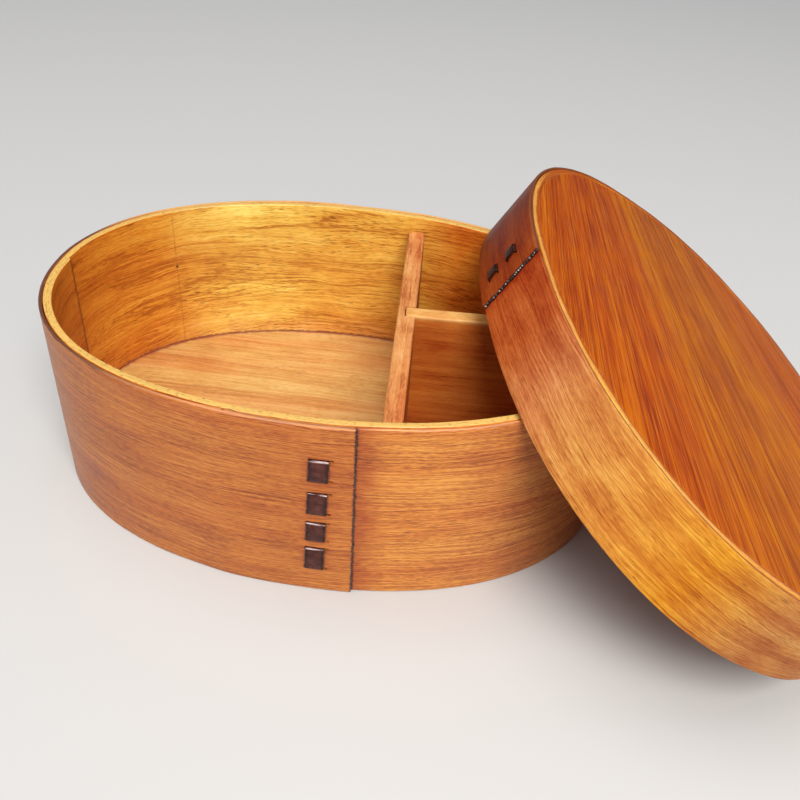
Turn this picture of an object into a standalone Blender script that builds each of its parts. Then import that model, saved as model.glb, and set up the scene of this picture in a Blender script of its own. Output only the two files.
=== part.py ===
"""An oval bentwood lunch box with a loose T of two dividers inside it, and its cover lid leaning over the
right-hand end.

The box stands on z = 0 with its middle on the origin and its long axis along X. Its wall is two thin boards bent
into an oval, one inside the other, each with its ends overlapped. The ends of the outer board are stitched
together with one strip of bark that runs in and out through slits. The lid is made in the same way. Every piece is
its own solid, with a clearance GAP to each neighbour that it touches.
"""

import math

import bmesh
import bpy
import numpy as np
from mathutils import Euler, Matrix, Vector

MM = 0.001
GAP = 0.3 * MM  # clearance between pieces that touch

# The oval plan of the box, measured outside its wall
OVAL_POWER = 2.17  # 2 would be an ellipse
BOX_HALF_LENGTH = 92.0 * MM
BOX_HALF_WIDTH = 62.0 * MM
BOX_HEIGHT = 65.0 * MM
BOX_OUTER_PLY = 1.0 * MM
BOX_INNER_PLY = 2.2 * MM
BOX_SEAM_X = 16.2 * MM  # where the outer ply's end shows, on the front
BOX_INNER_SEAM_Y = 3.6 * MM  # where the inner ply's end shows, at the left end

# The box's bottom
BOARD_RECESS = 1.2 * MM  # from the lower rim up to the board's underside
BOARD_THICKNESS = 8.3 * MM
FLOOR = BOARD_RECESS + BOARD_THICKNESS

# The overlap of a ply's two ends
LAP_LENGTH = 36.0 * MM
LAP_RUN_OUT = 14.0 * MM  # over which the top layer comes back to the oval
OUTER_LAP_PROUD = (0.9 * MM, 0.6 * MM)  # at the end that shows, and at the far end of the overlap
INNER_LAP_PROUD = (0.7 * MM, 0.2 * MM)
OUTER_UNDER_TIP = 0.4 * MM
INNER_UNDER_TIP = 0.6 * MM
STEP_EASE = 6.0 * MM  # over which a board inside the oval makes room for the inner ply's step
CHORD = 4.0 * MM  # longest straight facet along the oval
RIM_EASE = 0.15 * MM

# The bark strip that stitches the box's outer ply
BARK_THICKNESS = 0.5 * MM
BARK_LIFT = 0.25 * MM  # from the lap's face to the strip
BARK_SLACK = 1.0 * MM  # by which a slit is longer than the strip is wide
BARK_TUCK = 4.0 * MM  # how far each end of the strip runs on behind the ply
BOX_BARK_WIDTH = 5.5 * MM
BOX_BARK_X = 5.9 * MM
BOX_BARK_LEAN = math.radians(1.86)
BOX_SLITS = (53.25 * MM, 45.65 * MM, 40.65 * MM, 32.85 * MM, 28.95 * MM, 21.75 * MM, 18.25 * MM, 9.65 * MM)

# The dividers
DIVIDER_TOP = 60.0 * MM
DIVIDER_EASE = 0.5 * MM
DIVIDER_TURN = math.radians(3.0)  # how far the loose T has turned in the box
CROSS_X = 21.9 * MM
CROSS_THICKNESS = 5.8 * MM
SHORT_Y = 3.9 * MM
SHORT_THICKNESS = 5.2 * MM
GROOVE_DEPTH = 3.5 * MM

# The lid, in its own frame: its open edge at z = 0 and its top up
LID_HALF_LENGTH = 97.3 * MM
LID_HALF_WIDTH = 68.0 * MM
LID_HEIGHT = 25.0 * MM
LID_OUTER_PLY = 0.9 * MM
LID_INNER_PLY = 2.1 * MM
LID_BOARD = 4.5 * MM
LID_SEAM_X = -3.3 * MM
LID_INNER_SEAM_X = 20.0 * MM
LID_BARK_WIDTH = 4.0 * MM
LID_BARK_X = -14.2 * MM
LID_SLITS = (17.05 * MM, 13.15 * MM, 8.55 * MM, 4.65 * MM)
LID_TUCK = 2.8 * MM

# How the lid leans: its long axis runs from front to back across the right-hand end of the box
LID_PLACE = (103.21 * MM, 1.56 * MM, 36.08 * MM)
LID_TURN = (math.radians(-31.372), math.radians(2.659), math.radians(-79.4525))

OUTER_WOOD = (0.62, 0.33, 0.13)
INNER_WOOD = (0.74, 0.46, 0.19)
BOARD_WOOD = (0.70, 0.42, 0.24)
BARK = (0.055, 0.028, 0.022)


class Oval:
    """A superellipse walked counterclockwise by distance, from its +X end."""

    TABLE = 7200

    def __init__(self, half_length, half_width, power):
        self.half_length = half_length
        self.half_width = half_width
        self.power = power
        turn = np.linspace(0.0, 2.0 * math.pi, self.TABLE + 1)
        self.turns = turn
        points = self.on(turn)
        steps = np.hypot(*np.diff(points, axis=0).T)
        self.lengths = np.concatenate([[0.0], np.cumsum(steps)])
        self.round = float(self.lengths[-1])

    def on(self, turn):
        c, s = np.cos(turn), np.sin(turn)
        bend = 2.0 / self.power
        x = self.half_length * np.sign(c) * np.abs(c) ** bend
        y = self.half_width * np.sign(s) * np.abs(s) ** bend
        return np.stack([x, y], axis=-1)

    def normal(self, point):
        x, y = point[0] / self.half_length, point[1] / self.half_width
        slope = self.power - 1.0
        n = np.array([
            math.copysign(abs(x) ** slope, x) / self.half_length,
            math.copysign(abs(y) ** slope, y) / self.half_width,
        ])
        return n / np.linalg.norm(n)

    def at(self, distance, offset=0.0):
        turn = np.interp(distance % self.round, self.lengths, self.turns)
        point = self.on(turn)
        return point + self.normal(point) * offset

    def front(self, x):
        """The distance to the point of the front side (-Y) at this x."""
        half = np.searchsorted(self.turns, math.pi)
        xs = self.on(self.turns[half:])[:, 0]
        return float(np.interp(x, xs, self.lengths[half:]))

    def back(self, x):
        """The distance to the point of the back side (+Y) at this x."""
        half = np.searchsorted(self.turns, math.pi)
        xs = self.on(self.turns[:half])[:, 0]
        return float(np.interp(-x, -xs, self.lengths[:half]))

    def left(self, y):
        """The distance to the point of the left end (-X) at this y."""
        low = np.searchsorted(self.turns, 0.5 * math.pi)
        high = np.searchsorted(self.turns, 1.5 * math.pi)
        ys = self.on(self.turns[low:high])[:, 1]
        return float(np.interp(-y, -ys, self.lengths[low:high]))

    def frame(self, distance):
        """Outward, along and up, as the axes of a matrix at this point of the oval."""
        point = self.at(distance)
        out = self.normal(point)
        matrix = Matrix.Identity(4)
        matrix.col[0][:3] = (out[0], out[1], 0.0)
        matrix.col[1][:3] = (-out[1], out[0], 0.0)
        matrix.col[3][:3] = (point[0], point[1], 0.0)
        return matrix


def ease(share):
    share = min(max(share, 0.0), 1.0)
    return share * share * (3.0 - 2.0 * share)


class Band:
    """A board bent round the oval until one end lies on the other.

    The board grows from the offset `base`, outwards (grow 1) or inwards (grow -1). It's walked from the covered end
    to the end that shows, at `seam`, counterclockwise (way 1) or clockwise (way -1).
    """

    def __init__(self, oval, base, grow, thickness, seam, way, proud, under_tip):
        self.oval = oval
        self.base = base
        self.grow = grow
        self.thickness = thickness
        self.seam = seam
        self.way = way
        self.proud = proud
        self.under_tip = under_tip
        self.total = oval.round + LAP_LENGTH

    def under(self, behind):
        """How thick the covered layer is, at this distance behind the end that shows."""
        return self.thickness + (self.under_tip - self.thickness) * behind / LAP_LENGTH

    def bulge(self, behind):
        """How far the lap stands out from the board's own face."""
        at_end, far = self.proud
        if behind <= LAP_LENGTH:
            return at_end + (far - at_end) * behind / LAP_LENGTH
        return far * (1.0 - ease((behind - LAP_LENGTH) / LAP_RUN_OUT))

    def near_far(self, walked):
        """The board's two faces, as distances from the base."""
        if walked <= LAP_LENGTH:
            return 0.0, self.under(LAP_LENGTH - walked)
        behind = self.total - walked
        if behind >= LAP_LENGTH + LAP_RUN_OUT:
            return 0.0, self.thickness
        far = self.thickness + self.bulge(behind)
        if behind <= LAP_LENGTH:
            return self.under(behind) + GAP, far
        left = 1.0 - ease((behind - LAP_LENGTH) / LAP_RUN_OUT)
        return (self.under_tip + GAP) * left, far

    def outline(self):
        run_out = self.total - LAP_LENGTH - LAP_RUN_OUT
        stops = (0.0, LAP_LENGTH, run_out, self.total - LAP_LENGTH, self.total)
        walked = [0.0]
        for start, end in zip(stops, stops[1:]):
            count = math.ceil((end - start) / CHORD)
            walked += list(np.linspace(start, end, count + 1)[1:])
        near, far = [], []
        for w in walked:
            distance = self.seam + self.way * (w - self.total)
            inner, outer = self.near_far(w)
            near.append(self.oval.at(distance, self.base + self.grow * inner))
            far.append(self.oval.at(distance, self.base + self.grow * outer))
        return far + near[::-1]

    def inside(self, distance):
        """The offset of a board that fits inside this band with a clearance, the step at its seam included."""
        behind = (self.way * (self.seam - distance)) % self.oval.round
        ahead = self.oval.round - behind
        if behind <= LAP_LENGTH + LAP_RUN_OUT:
            bulge = self.bulge(behind)
        else:
            bulge = self.proud[0] * (1.0 - ease(ahead / STEP_EASE))
        return self.base - self.thickness - bulge - GAP


def clear_scene():
    for obj in list(bpy.data.objects):
        bpy.data.objects.remove(obj, do_unlink=True)
    for mesh in list(bpy.data.meshes):
        bpy.data.meshes.remove(mesh)


def collection(name):
    made = bpy.data.collections.new(name)
    bpy.context.scene.collection.children.link(made)
    return made


def material(name, colour, roughness):
    made = bpy.data.materials.new(name)
    made.use_nodes = True
    shader = made.node_tree.nodes["Principled BSDF"]
    shader.inputs["Base Color"].default_value = (*colour, 1.0)
    shader.inputs["Roughness"].default_value = roughness
    made.diffuse_color = (*colour, 1.0)
    return made


def flat_shape(name, outline, height):
    """A closed outline in XY made into a plate, from z = 0 to its height."""
    curve = bpy.data.curves.new(name, "CURVE")
    curve.dimensions = "2D"
    curve.fill_mode = "BOTH"
    curve.extrude = 0.5 * height
    spline = curve.splines.new("POLY")
    spline.points.add(len(outline) - 1)
    for point, place in zip(spline.points, outline):
        point.co = (place[0], place[1], 0.0, 1.0)
    spline.use_cyclic_u = True
    helper = bpy.data.objects.new(name + "_curve", curve)
    bpy.context.scene.collection.objects.link(helper)
    bpy.context.view_layer.update()
    graph = bpy.context.evaluated_depsgraph_get()
    mesh = bpy.data.meshes.new_from_object(helper.evaluated_get(graph))
    mesh.transform(Matrix.Translation((0.0, 0.0, 0.5 * height)))
    bpy.data.objects.remove(helper, do_unlink=True)
    close(mesh)
    mesh.name = name
    return mesh


def close(mesh):
    shape = bmesh.new()
    shape.from_mesh(mesh)
    bmesh.ops.remove_doubles(shape, verts=shape.verts, dist=0.001 * MM)
    bmesh.ops.recalc_face_normals(shape, faces=shape.faces)
    shape.to_mesh(mesh)
    shape.free()


def blocks(name, placed):
    """One mesh of separate boxes, each given as its (low corner, high corner)."""
    shape = bmesh.new()
    for low, high in placed:
        low, high = Vector(low), Vector(high)
        size = high - low
        matrix = Matrix.Translation(0.5 * (low + high)) @ Matrix.Diagonal((*size, 1.0))
        bmesh.ops.create_cube(shape, size=1.0, matrix=matrix)
    mesh = bpy.data.meshes.new(name)
    shape.to_mesh(mesh)
    shape.free()
    return mesh


def add(name, mesh, group, matrix, parent=None, look=None):
    obj = bpy.data.objects.new(name, mesh)
    group.objects.link(obj)
    obj.parent = parent
    obj.matrix_local = matrix
    if look is not None:
        mesh.materials.clear()
        mesh.materials.append(look)
        mesh.shade_smooth()
        mesh.set_sharp_from_angle(angle=math.radians(30.0))
    else:
        obj.hide_render = True
        obj.display_type = "WIRE"
    return obj


def bevel(obj, width, segments):
    rounding = obj.modifiers.new("eased_edges", "BEVEL")
    rounding.width = width
    rounding.segments = segments
    rounding.limit_method = "ANGLE"
    rounding.angle_limit = math.radians(60.0)


def cut(obj, cutter):
    boolean = obj.modifiers.new("cut_by_" + cutter.name, "BOOLEAN")
    boolean.operation = "DIFFERENCE"
    boolean.solver = "EXACT"
    boolean.object = cutter


def strip_outline(path, half):
    """The outline of a strip of even thickness along a path of straight runs with square corners."""
    points = [Vector(point) for point in path]
    left, right = [], []
    for i, point in enumerate(points):
        before = points[i] - points[i - 1] if i else points[1] - points[0]
        after = points[i + 1] - points[i] if i + 1 < len(points) else before
        before, after = before.normalized(), after.normalized()
        side = Vector((-before.y, before.x)) + Vector((-after.y, after.x))
        side = side / max(side.dot(Vector((-before.y, before.x))), 1e-9)
        left.append(point + side * half)
        right.append(point - side * half)
    return left + right[::-1]


def lacing_path(slits, tuck, behind, before):
    """The way the bark strip takes through the slits, from the top down: x is outwards and y is up."""
    path = [(behind, slits[0] + tuck)]
    outside = False
    for height in slits:
        here, there = (before, behind) if outside else (behind, before)
        path += [(here, height), (there, height)]
        outside = not outside
    path.append((behind, slits[-1] - tuck))
    return path


def stitch(prefix, band, inner_base, slits, tuck, width, distance, lean, group, cutters, parent):
    """The slits in a band's lap, the room behind it and the bark strip that runs through them."""
    middle = 0.5 * (slits[0] + slits[-1])
    turn = Matrix.Translation((0.0, 0.0, middle)) @ Matrix.Rotation(-lean, 4, "X")
    turn = turn @ Matrix.Translation((0.0, 0.0, -middle))
    frame = band.oval.frame(distance) @ turn
    face = band.base + band.thickness + band.proud[0]
    before = face + BARK_LIFT + 0.5 * BARK_THICKNESS
    behind = inner_base - 0.5 * BARK_THICKNESS
    half_slit = 0.5 * BARK_THICKNESS + GAP
    side = 0.5 * width + GAP
    low, high = band.base - 0.5 * GAP, face + BARK_LIFT
    openings = [
        ((low, -side, z - half_slit), (high, side + BARK_SLACK, z + half_slit)) for z in slits
    ]
    room_low = slits[-1] - tuck - 2.0 * GAP
    room_high = slits[0] + tuck + 2.0 * GAP
    room = [(
        (inner_base - BARK_THICKNESS - GAP, -side, room_low),
        (inner_base + GAP, side, room_high),
    )]
    slit_cutter = add(prefix + "_slits", blocks(prefix + "_slits", openings), cutters, frame, parent)
    room_cutter = add(prefix + "_room", blocks(prefix + "_room", room), cutters, frame, parent)
    outline = strip_outline(lacing_path(slits, tuck, behind, before), 0.5 * BARK_THICKNESS)
    mesh = flat_shape(prefix + "_bark_lacing", outline, width)
    upright = Matrix.Rotation(math.radians(90.0), 4, "X") @ Matrix.Translation((0.0, 0.0, -0.5 * width))
    add(
        prefix + "_bark_lacing", mesh, group, frame @ upright, parent,
        material(prefix + "_bark_lacing", BARK, 0.45),
    )
    return slit_cutter, room_cutter


def fitted_board(band, oval):
    count = math.ceil(oval.round / CHORD)
    distances = np.linspace(0.0, oval.round, count, endpoint=False)
    return [oval.at(d, band.inside(d)) for d in distances]


def room_along(oval, wall, across, start, direction):
    """How far a plate of this thickness reaches from its start before a corner comes to the wall."""
    direction = Vector(direction)
    side = Vector((-direction.y, direction.x))
    reach = []
    for sign in (-0.5, 0.5):
        corner = Vector(start) + side * across * sign
        low, high = 0.0, 2.0 * oval.half_length
        for _ in range(50):
            middle = 0.5 * (low + high)
            place = corner + direction * middle
            if inside_oval(oval, wall, place):
                low = middle
            else:
                high = middle
        reach.append(low)
    return min(reach)


def inside_oval(oval, offset, place):
    turn = np.linspace(0.0, 2.0 * math.pi, 721)
    points = oval.on(turn)
    gaps = np.hypot(points[:, 0] - place.x, points[:, 1] - place.y)
    within = abs(place.x / oval.half_length) ** oval.power + abs(place.y / oval.half_width) ** oval.power < 1.0
    return within and float(gaps.min()) > -offset


def make_box(group, cutters):
    oval = Oval(BOX_HALF_LENGTH, BOX_HALF_WIDTH, OVAL_POWER)
    inner_base = -BOX_OUTER_PLY - GAP
    outer = Band(
        oval, -BOX_OUTER_PLY, 1.0, BOX_OUTER_PLY, oval.front(BOX_SEAM_X), 1.0, OUTER_LAP_PROUD, OUTER_UNDER_TIP
    )
    inner = Band(
        oval, inner_base, -1.0, BOX_INNER_PLY, oval.left(BOX_INNER_SEAM_Y), -1.0, INNER_LAP_PROUD, INNER_UNDER_TIP
    )
    outer_ply = add(
        "box_outer_ply", flat_shape("box_outer_ply", outer.outline(), BOX_HEIGHT), group, Matrix.Identity(4),
        look=material("box_outer_ply", OUTER_WOOD, 0.4),
    )
    inner_ply = add(
        "box_inner_ply", flat_shape("box_inner_ply", inner.outline(), BOX_HEIGHT), group, Matrix.Identity(4),
        look=material("box_inner_ply", INNER_WOOD, 0.4),
    )
    bevel(outer_ply, RIM_EASE, 1)
    bevel(inner_ply, RIM_EASE, 1)
    board = add(
        "box_bottom_board", flat_shape("box_bottom_board", fitted_board(inner, oval), BOARD_THICKNESS), group,
        Matrix.Translation((0.0, 0.0, BOARD_RECESS)), look=material("box_bottom_board", BOARD_WOOD, 0.45),
    )
    bevel(board, RIM_EASE, 1)
    slit_cutter, room_cutter = stitch(
        "box", outer, inner_base, BOX_SLITS, BARK_TUCK, BOX_BARK_WIDTH, oval.front(BOX_BARK_X), BOX_BARK_LEAN,
        group, cutters, None,
    )
    cut(outer_ply, slit_cutter)
    cut(inner_ply, room_cutter)
    return oval, inner_base - BOX_INNER_PLY


def make_dividers(oval, wall, group, cutters):
    """The loose T: a board across the box, and a short one let into its groove."""
    turned = Matrix.Translation((CROSS_X, 0.0, 0.0)) @ Matrix.Rotation(DIVIDER_TURN, 4, "Z")
    along = turned.to_3x3() @ Vector((0.0, 1.0, 0.0))
    right = turned.to_3x3() @ Vector((1.0, 0.0, 0.0))
    middle = turned.translation.xy
    fit = wall - 2.0 * GAP
    back = room_along(oval, fit, CROSS_THICKNESS, middle, along.xy)
    front = room_along(oval, fit, CROSS_THICKNESS, middle, -along.xy)
    short_from = turned @ Vector((0.0, SHORT_Y, 0.0))
    end = room_along(oval, fit, SHORT_THICKNESS, short_from.xy, right.xy)
    foot = FLOOR + GAP
    half = 0.5 * CROSS_THICKNESS
    half_short = 0.5 * SHORT_THICKNESS
    cross = add(
        "cross_divider",
        blocks("cross_divider", [((-half, -front, foot), (half, back, DIVIDER_TOP))]),
        group, turned, look=material("cross_divider", BOARD_WOOD, 0.5),
    )
    bevel(cross, DIVIDER_EASE, 2)
    groove_floor = half - GROOVE_DEPTH
    side = half_short + GAP
    groove = add(
        "divider_groove",
        blocks("divider_groove", [(
            (groove_floor, SHORT_Y - side, foot - MM),
            (half + MM, SHORT_Y + side, DIVIDER_TOP + MM),
        )]),
        cutters, turned,
    )
    cut(cross, groove)
    short = add(
        "short_divider",
        blocks("short_divider", [(
            (groove_floor + GAP, SHORT_Y - half_short, foot),
            (end, SHORT_Y + half_short, DIVIDER_TOP),
        )]),
        group, turned, look=material("short_divider", BOARD_WOOD, 0.5),
    )
    bevel(short, DIVIDER_EASE, 2)


def make_lid(group, cutters):
    """The cover lid, made in its own frame and hung on an empty that holds how it leans."""
    place = bpy.data.objects.new("lid_place", None)
    group.objects.link(place)
    place.location = LID_PLACE
    place.rotation_euler = Euler(LID_TURN, "XYZ")
    bpy.context.view_layer.update()
    oval = Oval(LID_HALF_LENGTH, LID_HALF_WIDTH, OVAL_POWER)
    inner_base = -LID_OUTER_PLY - GAP
    outer = Band(
        oval, -LID_OUTER_PLY, 1.0, LID_OUTER_PLY, oval.front(LID_SEAM_X), 1.0, OUTER_LAP_PROUD, OUTER_UNDER_TIP
    )
    inner = Band(
        oval, inner_base, -1.0, LID_INNER_PLY, oval.back(LID_INNER_SEAM_X), -1.0, INNER_LAP_PROUD, INNER_UNDER_TIP
    )
    outer_ply = add(
        "lid_outer_ply", flat_shape("lid_outer_ply", outer.outline(), LID_HEIGHT), group, Matrix.Identity(4),
        place, material("lid_outer_ply", OUTER_WOOD, 0.4),
    )
    inner_ply = add(
        "lid_inner_ply", flat_shape("lid_inner_ply", inner.outline(), LID_HEIGHT), group, Matrix.Identity(4),
        place, material("lid_inner_ply", INNER_WOOD, 0.4),
    )
    bevel(outer_ply, RIM_EASE, 1)
    bevel(inner_ply, RIM_EASE, 1)
    board = add(
        "lid_top_board", flat_shape("lid_top_board", fitted_board(inner, oval), LID_BOARD), group,
        Matrix.Translation((0.0, 0.0, LID_HEIGHT - LID_BOARD)), place,
        material("lid_top_board", BOARD_WOOD, 0.4),
    )
    bevel(board, RIM_EASE, 1)
    slit_cutter, room_cutter = stitch(
        "lid", outer, inner_base, LID_SLITS, LID_TUCK, LID_BARK_WIDTH, oval.front(LID_BARK_X), 0.0,
        group, cutters, place,
    )
    cut(outer_ply, slit_cutter)
    cut(inner_ply, room_cutter)


def main():
    clear_scene()
    group = collection("bentwood_lunch_box")
    cutters = collection("cutters")
    oval, wall = make_box(group, cutters)
    make_dividers(oval, wall, group, cutters)
    make_lid(group, cutters)


main()
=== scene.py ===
"""The looks of an oval bentwood lunch box with loose dividers and a leaning lid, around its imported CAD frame."""

import math
from collections import namedtuple

import bmesh
import bpy
import numpy as np
from mathutils import Euler, Matrix, Vector


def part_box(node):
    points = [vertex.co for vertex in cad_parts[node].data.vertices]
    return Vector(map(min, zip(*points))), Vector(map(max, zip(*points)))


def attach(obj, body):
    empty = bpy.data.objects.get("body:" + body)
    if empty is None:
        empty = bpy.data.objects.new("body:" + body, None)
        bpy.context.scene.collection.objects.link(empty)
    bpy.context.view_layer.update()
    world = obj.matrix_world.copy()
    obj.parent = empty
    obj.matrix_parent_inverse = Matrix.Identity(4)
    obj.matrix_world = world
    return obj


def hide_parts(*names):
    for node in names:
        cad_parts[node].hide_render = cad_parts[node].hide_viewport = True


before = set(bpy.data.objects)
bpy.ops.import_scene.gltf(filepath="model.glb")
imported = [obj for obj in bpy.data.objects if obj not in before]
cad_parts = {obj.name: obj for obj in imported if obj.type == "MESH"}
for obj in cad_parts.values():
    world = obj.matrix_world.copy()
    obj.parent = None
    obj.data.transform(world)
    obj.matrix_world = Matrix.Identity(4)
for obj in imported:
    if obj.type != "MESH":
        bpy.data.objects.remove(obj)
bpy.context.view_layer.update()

MM = 0.001
random = np.random.default_rng(7)

# --- sizes, as in the CAD, in mm
OVAL_POWER = 2.17
BOX_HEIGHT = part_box("box_inner_ply")[1].z / MM
BOX_OUTER = 1.0
BOX_INNER = 2.2
GAP = 0.3
SEAT = 0.03
BOX_HALF_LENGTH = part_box("box_outer_ply")[1].x / MM
BOX_HALF_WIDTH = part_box("box_outer_ply")[1].y / MM
BOX_SEAM_X = 16.2
BOX_INNER_SEAM_Y = 3.6
FLOOR_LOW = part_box("box_bottom_board")[0].z / MM
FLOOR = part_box("box_bottom_board")[1].z / MM
LAP = 36.0
RUN_OUT = 14.0
UNDER_STEP = 0.8
AHEAD_EASE = 6.0
OUTER_PROUD = (0.9, 0.6)
INNER_PROUD = (0.7, 0.2)
OUTER_TIP = 0.4
INNER_TIP = 0.6
BARK = 0.5
BOX_BARK_WIDTH = 5.5
BOX_BARK_X = 5.9
BOX_BARK_LEAN = math.radians(1.86)
BOX_SLITS = (53.25, 45.65, 40.65, 32.85, 28.95, 21.75, 18.25, 9.65)
SLIT_OVERRUN = 0.9
SLIT_HALF = 0.5
DIVIDER_TURN = math.radians(3.0)
CROSS_X = 21.9
CROSS_THICK = 5.8
SHORT_Y = 3.9
SHORT_THICK = 5.2
GROOVE = 3.5
LID_HALF_LENGTH = 97.3
LID_HALF_WIDTH = 68.0
LID_HEIGHT = 25.0
LID_OUTER = 0.9
LID_INNER = 2.1
LID_BOARD = 4.5
LID_SEAM_X = -3.3
LID_INNER_SEAM_X = 20.0
LID_BARK_WIDTH = 4.0
LID_BARK_X = -14.2
LID_SLITS = (17.05, 13.15, 8.55, 4.65)
LID_TURNS = (math.radians(-31.372), math.radians(2.659), math.radians(-79.4525))
LID_PLACE = Matrix.Translation((103.21 * MM, 1.56 * MM, 36.08 * MM)) @ Euler(LID_TURNS, "XYZ").to_matrix().to_4x4()

# --- how the finer meshes differ from the CAD, in mm
END_ROUND = 0.3
EASE_LOW = 0.3
LAPPED_EASE = 0.02
EASE_ARC = np.linspace(0.0, 0.5 * math.pi, 6)[1:]
RIM_WAVE_DEPTH = 4.0
BOARD_RINGS = (0.8, 1.4, 2.2, 3.5, 6.0)
EVEN_INSET = 12.0
GRID = 4.0
BARK_OFF = 0.02
BEAD_STEP = 0.22
BEAD_SIDES = 10
SHARP = math.radians(40.0)
HERE = Matrix.Identity(4)


class Oval:
    """A superellipse in mm, walked counterclockwise by distance from its +X end."""

    def __init__(self, half_length, half_width):
        self.halves = (half_length, half_width)
        self.turns = np.linspace(0.0, 2.0 * math.pi, 7201)
        points = self.on(self.turns)
        self.lengths = np.concatenate([[0.0], np.cumsum(np.hypot(*np.diff(points, axis=0).T))])
        self.round = float(self.lengths[-1])

    def on(self, turn):
        bend = 2.0 / OVAL_POWER
        shares = zip(self.halves, (np.cos(turn), np.sin(turn)))
        return np.stack([half * np.sign(q) * np.abs(q) ** bend for half, q in shares], axis=-1)

    def normal(self, points):
        slope = OVAL_POWER - 1.0
        shares = [(half, points[..., axis] / half) for axis, half in enumerate(self.halves)]
        n = np.stack([np.sign(q) * np.abs(q) ** slope / half for half, q in shares], axis=-1)
        return n / np.linalg.norm(n, axis=-1, keepdims=True)

    def at(self, distance, offset=0.0):
        distance = np.asarray(distance, float)
        points = self.on(np.interp(distance % self.round, self.lengths, self.turns))
        return points + self.normal(points) * np.asarray(offset)[..., None]

    def find(self, axis, value, start, end):
        """The distance of the point whose x (axis 0) or y (axis 1) has this value, between two shares of a turn."""
        distances = np.linspace(start * self.round, end * self.round, 4001)
        places = self.at(distances)[:, axis]
        return float(distances[np.argmin(np.abs(places - value))])

    def frame(self, distance):
        point = self.at(distance)
        out = self.normal(point)
        matrix = Matrix.Identity(4)
        matrix.col[0][:3] = (out[0], out[1], 0.0)
        matrix.col[1][:3] = (-out[1], out[0], 0.0)
        matrix.col[3][:3] = (point[0], point[1], 0.0)
        return matrix


def ease(share):
    share = np.clip(share, 0.0, 1.0)
    return share * share * (3.0 - 2.0 * share)


class Band:
    """A board bent round the oval with one end lapped over the other, as in the CAD.

    way is 1 where it is walked counterclockwise and thickens outwards, and -1 where both turn round.
    """

    def __init__(self, oval, base, thickness, seam, way, proud, under_tip):
        self.oval, self.base, self.thickness, self.seam = oval, base, thickness, seam
        self.way, self.proud, self.under_tip = way, proud, under_tip
        self.total = oval.round + LAP

    def bulge(self, behind):
        at_end, far = self.proud
        lap = at_end + (far - at_end) * behind / LAP
        return np.where(behind <= LAP, lap, far * (1.0 - ease((behind - LAP) / RUN_OUT)))

    def near_far(self, walked):
        """The board's two faces, as distances from the base, at these distances walked."""
        walked = np.asarray(walked, float)
        behind = self.total - walked
        thinning = self.under_tip - self.thickness
        under = self.thickness + thinning * (LAP - walked) / LAP
        far = np.where(walked <= LAP, under, self.thickness + np.where(behind < LAP + RUN_OUT, self.bulge(behind), 0.0))
        over_near = self.thickness + thinning * behind / LAP + SEAT
        run_near = (self.under_tip + SEAT) * (1.0 - ease((behind - LAP) / UNDER_STEP))
        near = np.where(behind <= LAP, over_near, np.where(behind < LAP + RUN_OUT, run_near, 0.0))
        return np.where(walked <= LAP, 0.0, near), far

    def distance(self, walked):
        return self.seam + self.way * (np.asarray(walked) - self.total)

    def inside(self, distance):
        behind = (self.way * (self.seam - distance)) % self.oval.round
        ahead = self.oval.round - behind
        past = self.proud[0] * (1.0 - ease(ahead / AHEAD_EASE))
        return self.base - self.thickness - np.where(behind <= LAP + RUN_OUT, self.bulge(behind), past) - GAP


# --- meshes
def show(name, mesh):
    mesh.shade_smooth()
    mesh.set_sharp_from_angle(angle=SHARP)
    obj = bpy.data.objects.new(name, mesh)
    bpy.context.scene.collection.objects.link(obj)
    return obj


def add_attributes(mesh, attributes):
    """Each attribute is one number, or three, a vertex."""
    for key, values in attributes.items():
        values = np.asarray(values, np.float32)
        kind, field = ("FLOAT_VECTOR", "vector") if values.ndim == 2 else ("FLOAT", "value")
        mesh.attributes.new(key, kind, "POINT").data.foreach_set(field, values.ravel())


def mesh_object(name, points, faces, attributes, matrix=None):
    """points in mm."""
    mesh = bpy.data.meshes.new(name)
    mesh.from_pydata((np.asarray(points, float) * MM).tolist(), [], faces)
    add_attributes(mesh, attributes)
    if matrix is not None:
        mesh.transform(matrix)
    mesh.validate()
    return show(name, mesh)


def end_faces(layers, n):
    return [tuple(range(n - 1, -1, -1)), tuple((layers - 1) * n + q for q in range(n))]


def tube_faces(layers, n):
    """The faces of a closed tube through layers of n points each, with an n-gon on both ends."""
    faces = []
    for a in range(layers - 1):
        for q in range(n):
            p = (q + 1) % n
            faces.append((a * n + q, a * n + p, (a + 1) * n + p, (a + 1) * n + q))
    return faces + end_faces(layers, n)


def wobble(values, period, seed, strength):
    """A smooth, repeatable wander along values, in mm."""
    rng = np.random.default_rng(seed)
    total = np.zeros_like(np.asarray(values, float))
    for octave in range(3):
        phase, scale = rng.uniform(0, 2 * math.pi), rng.uniform(0.8, 1.25)
        total += np.sin(values * 2 * math.pi / period * scale * 2**octave + phase) / 2**octave
    return total * strength / 1.75


def steps_through(stops, longest):
    """Ascending values through every stop, no further apart than longest(value) allows."""
    stops = sorted(set(round(float(s), 4) for s in stops))
    values = [stops[0]]
    for low, high in zip(stops, stops[1:]):
        count = max(1, math.ceil((high - low) / longest(0.5 * (low + high)) - 1e-6))
        values += list(np.linspace(low, high, count + 1)[1:])
    return np.array(values)


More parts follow.
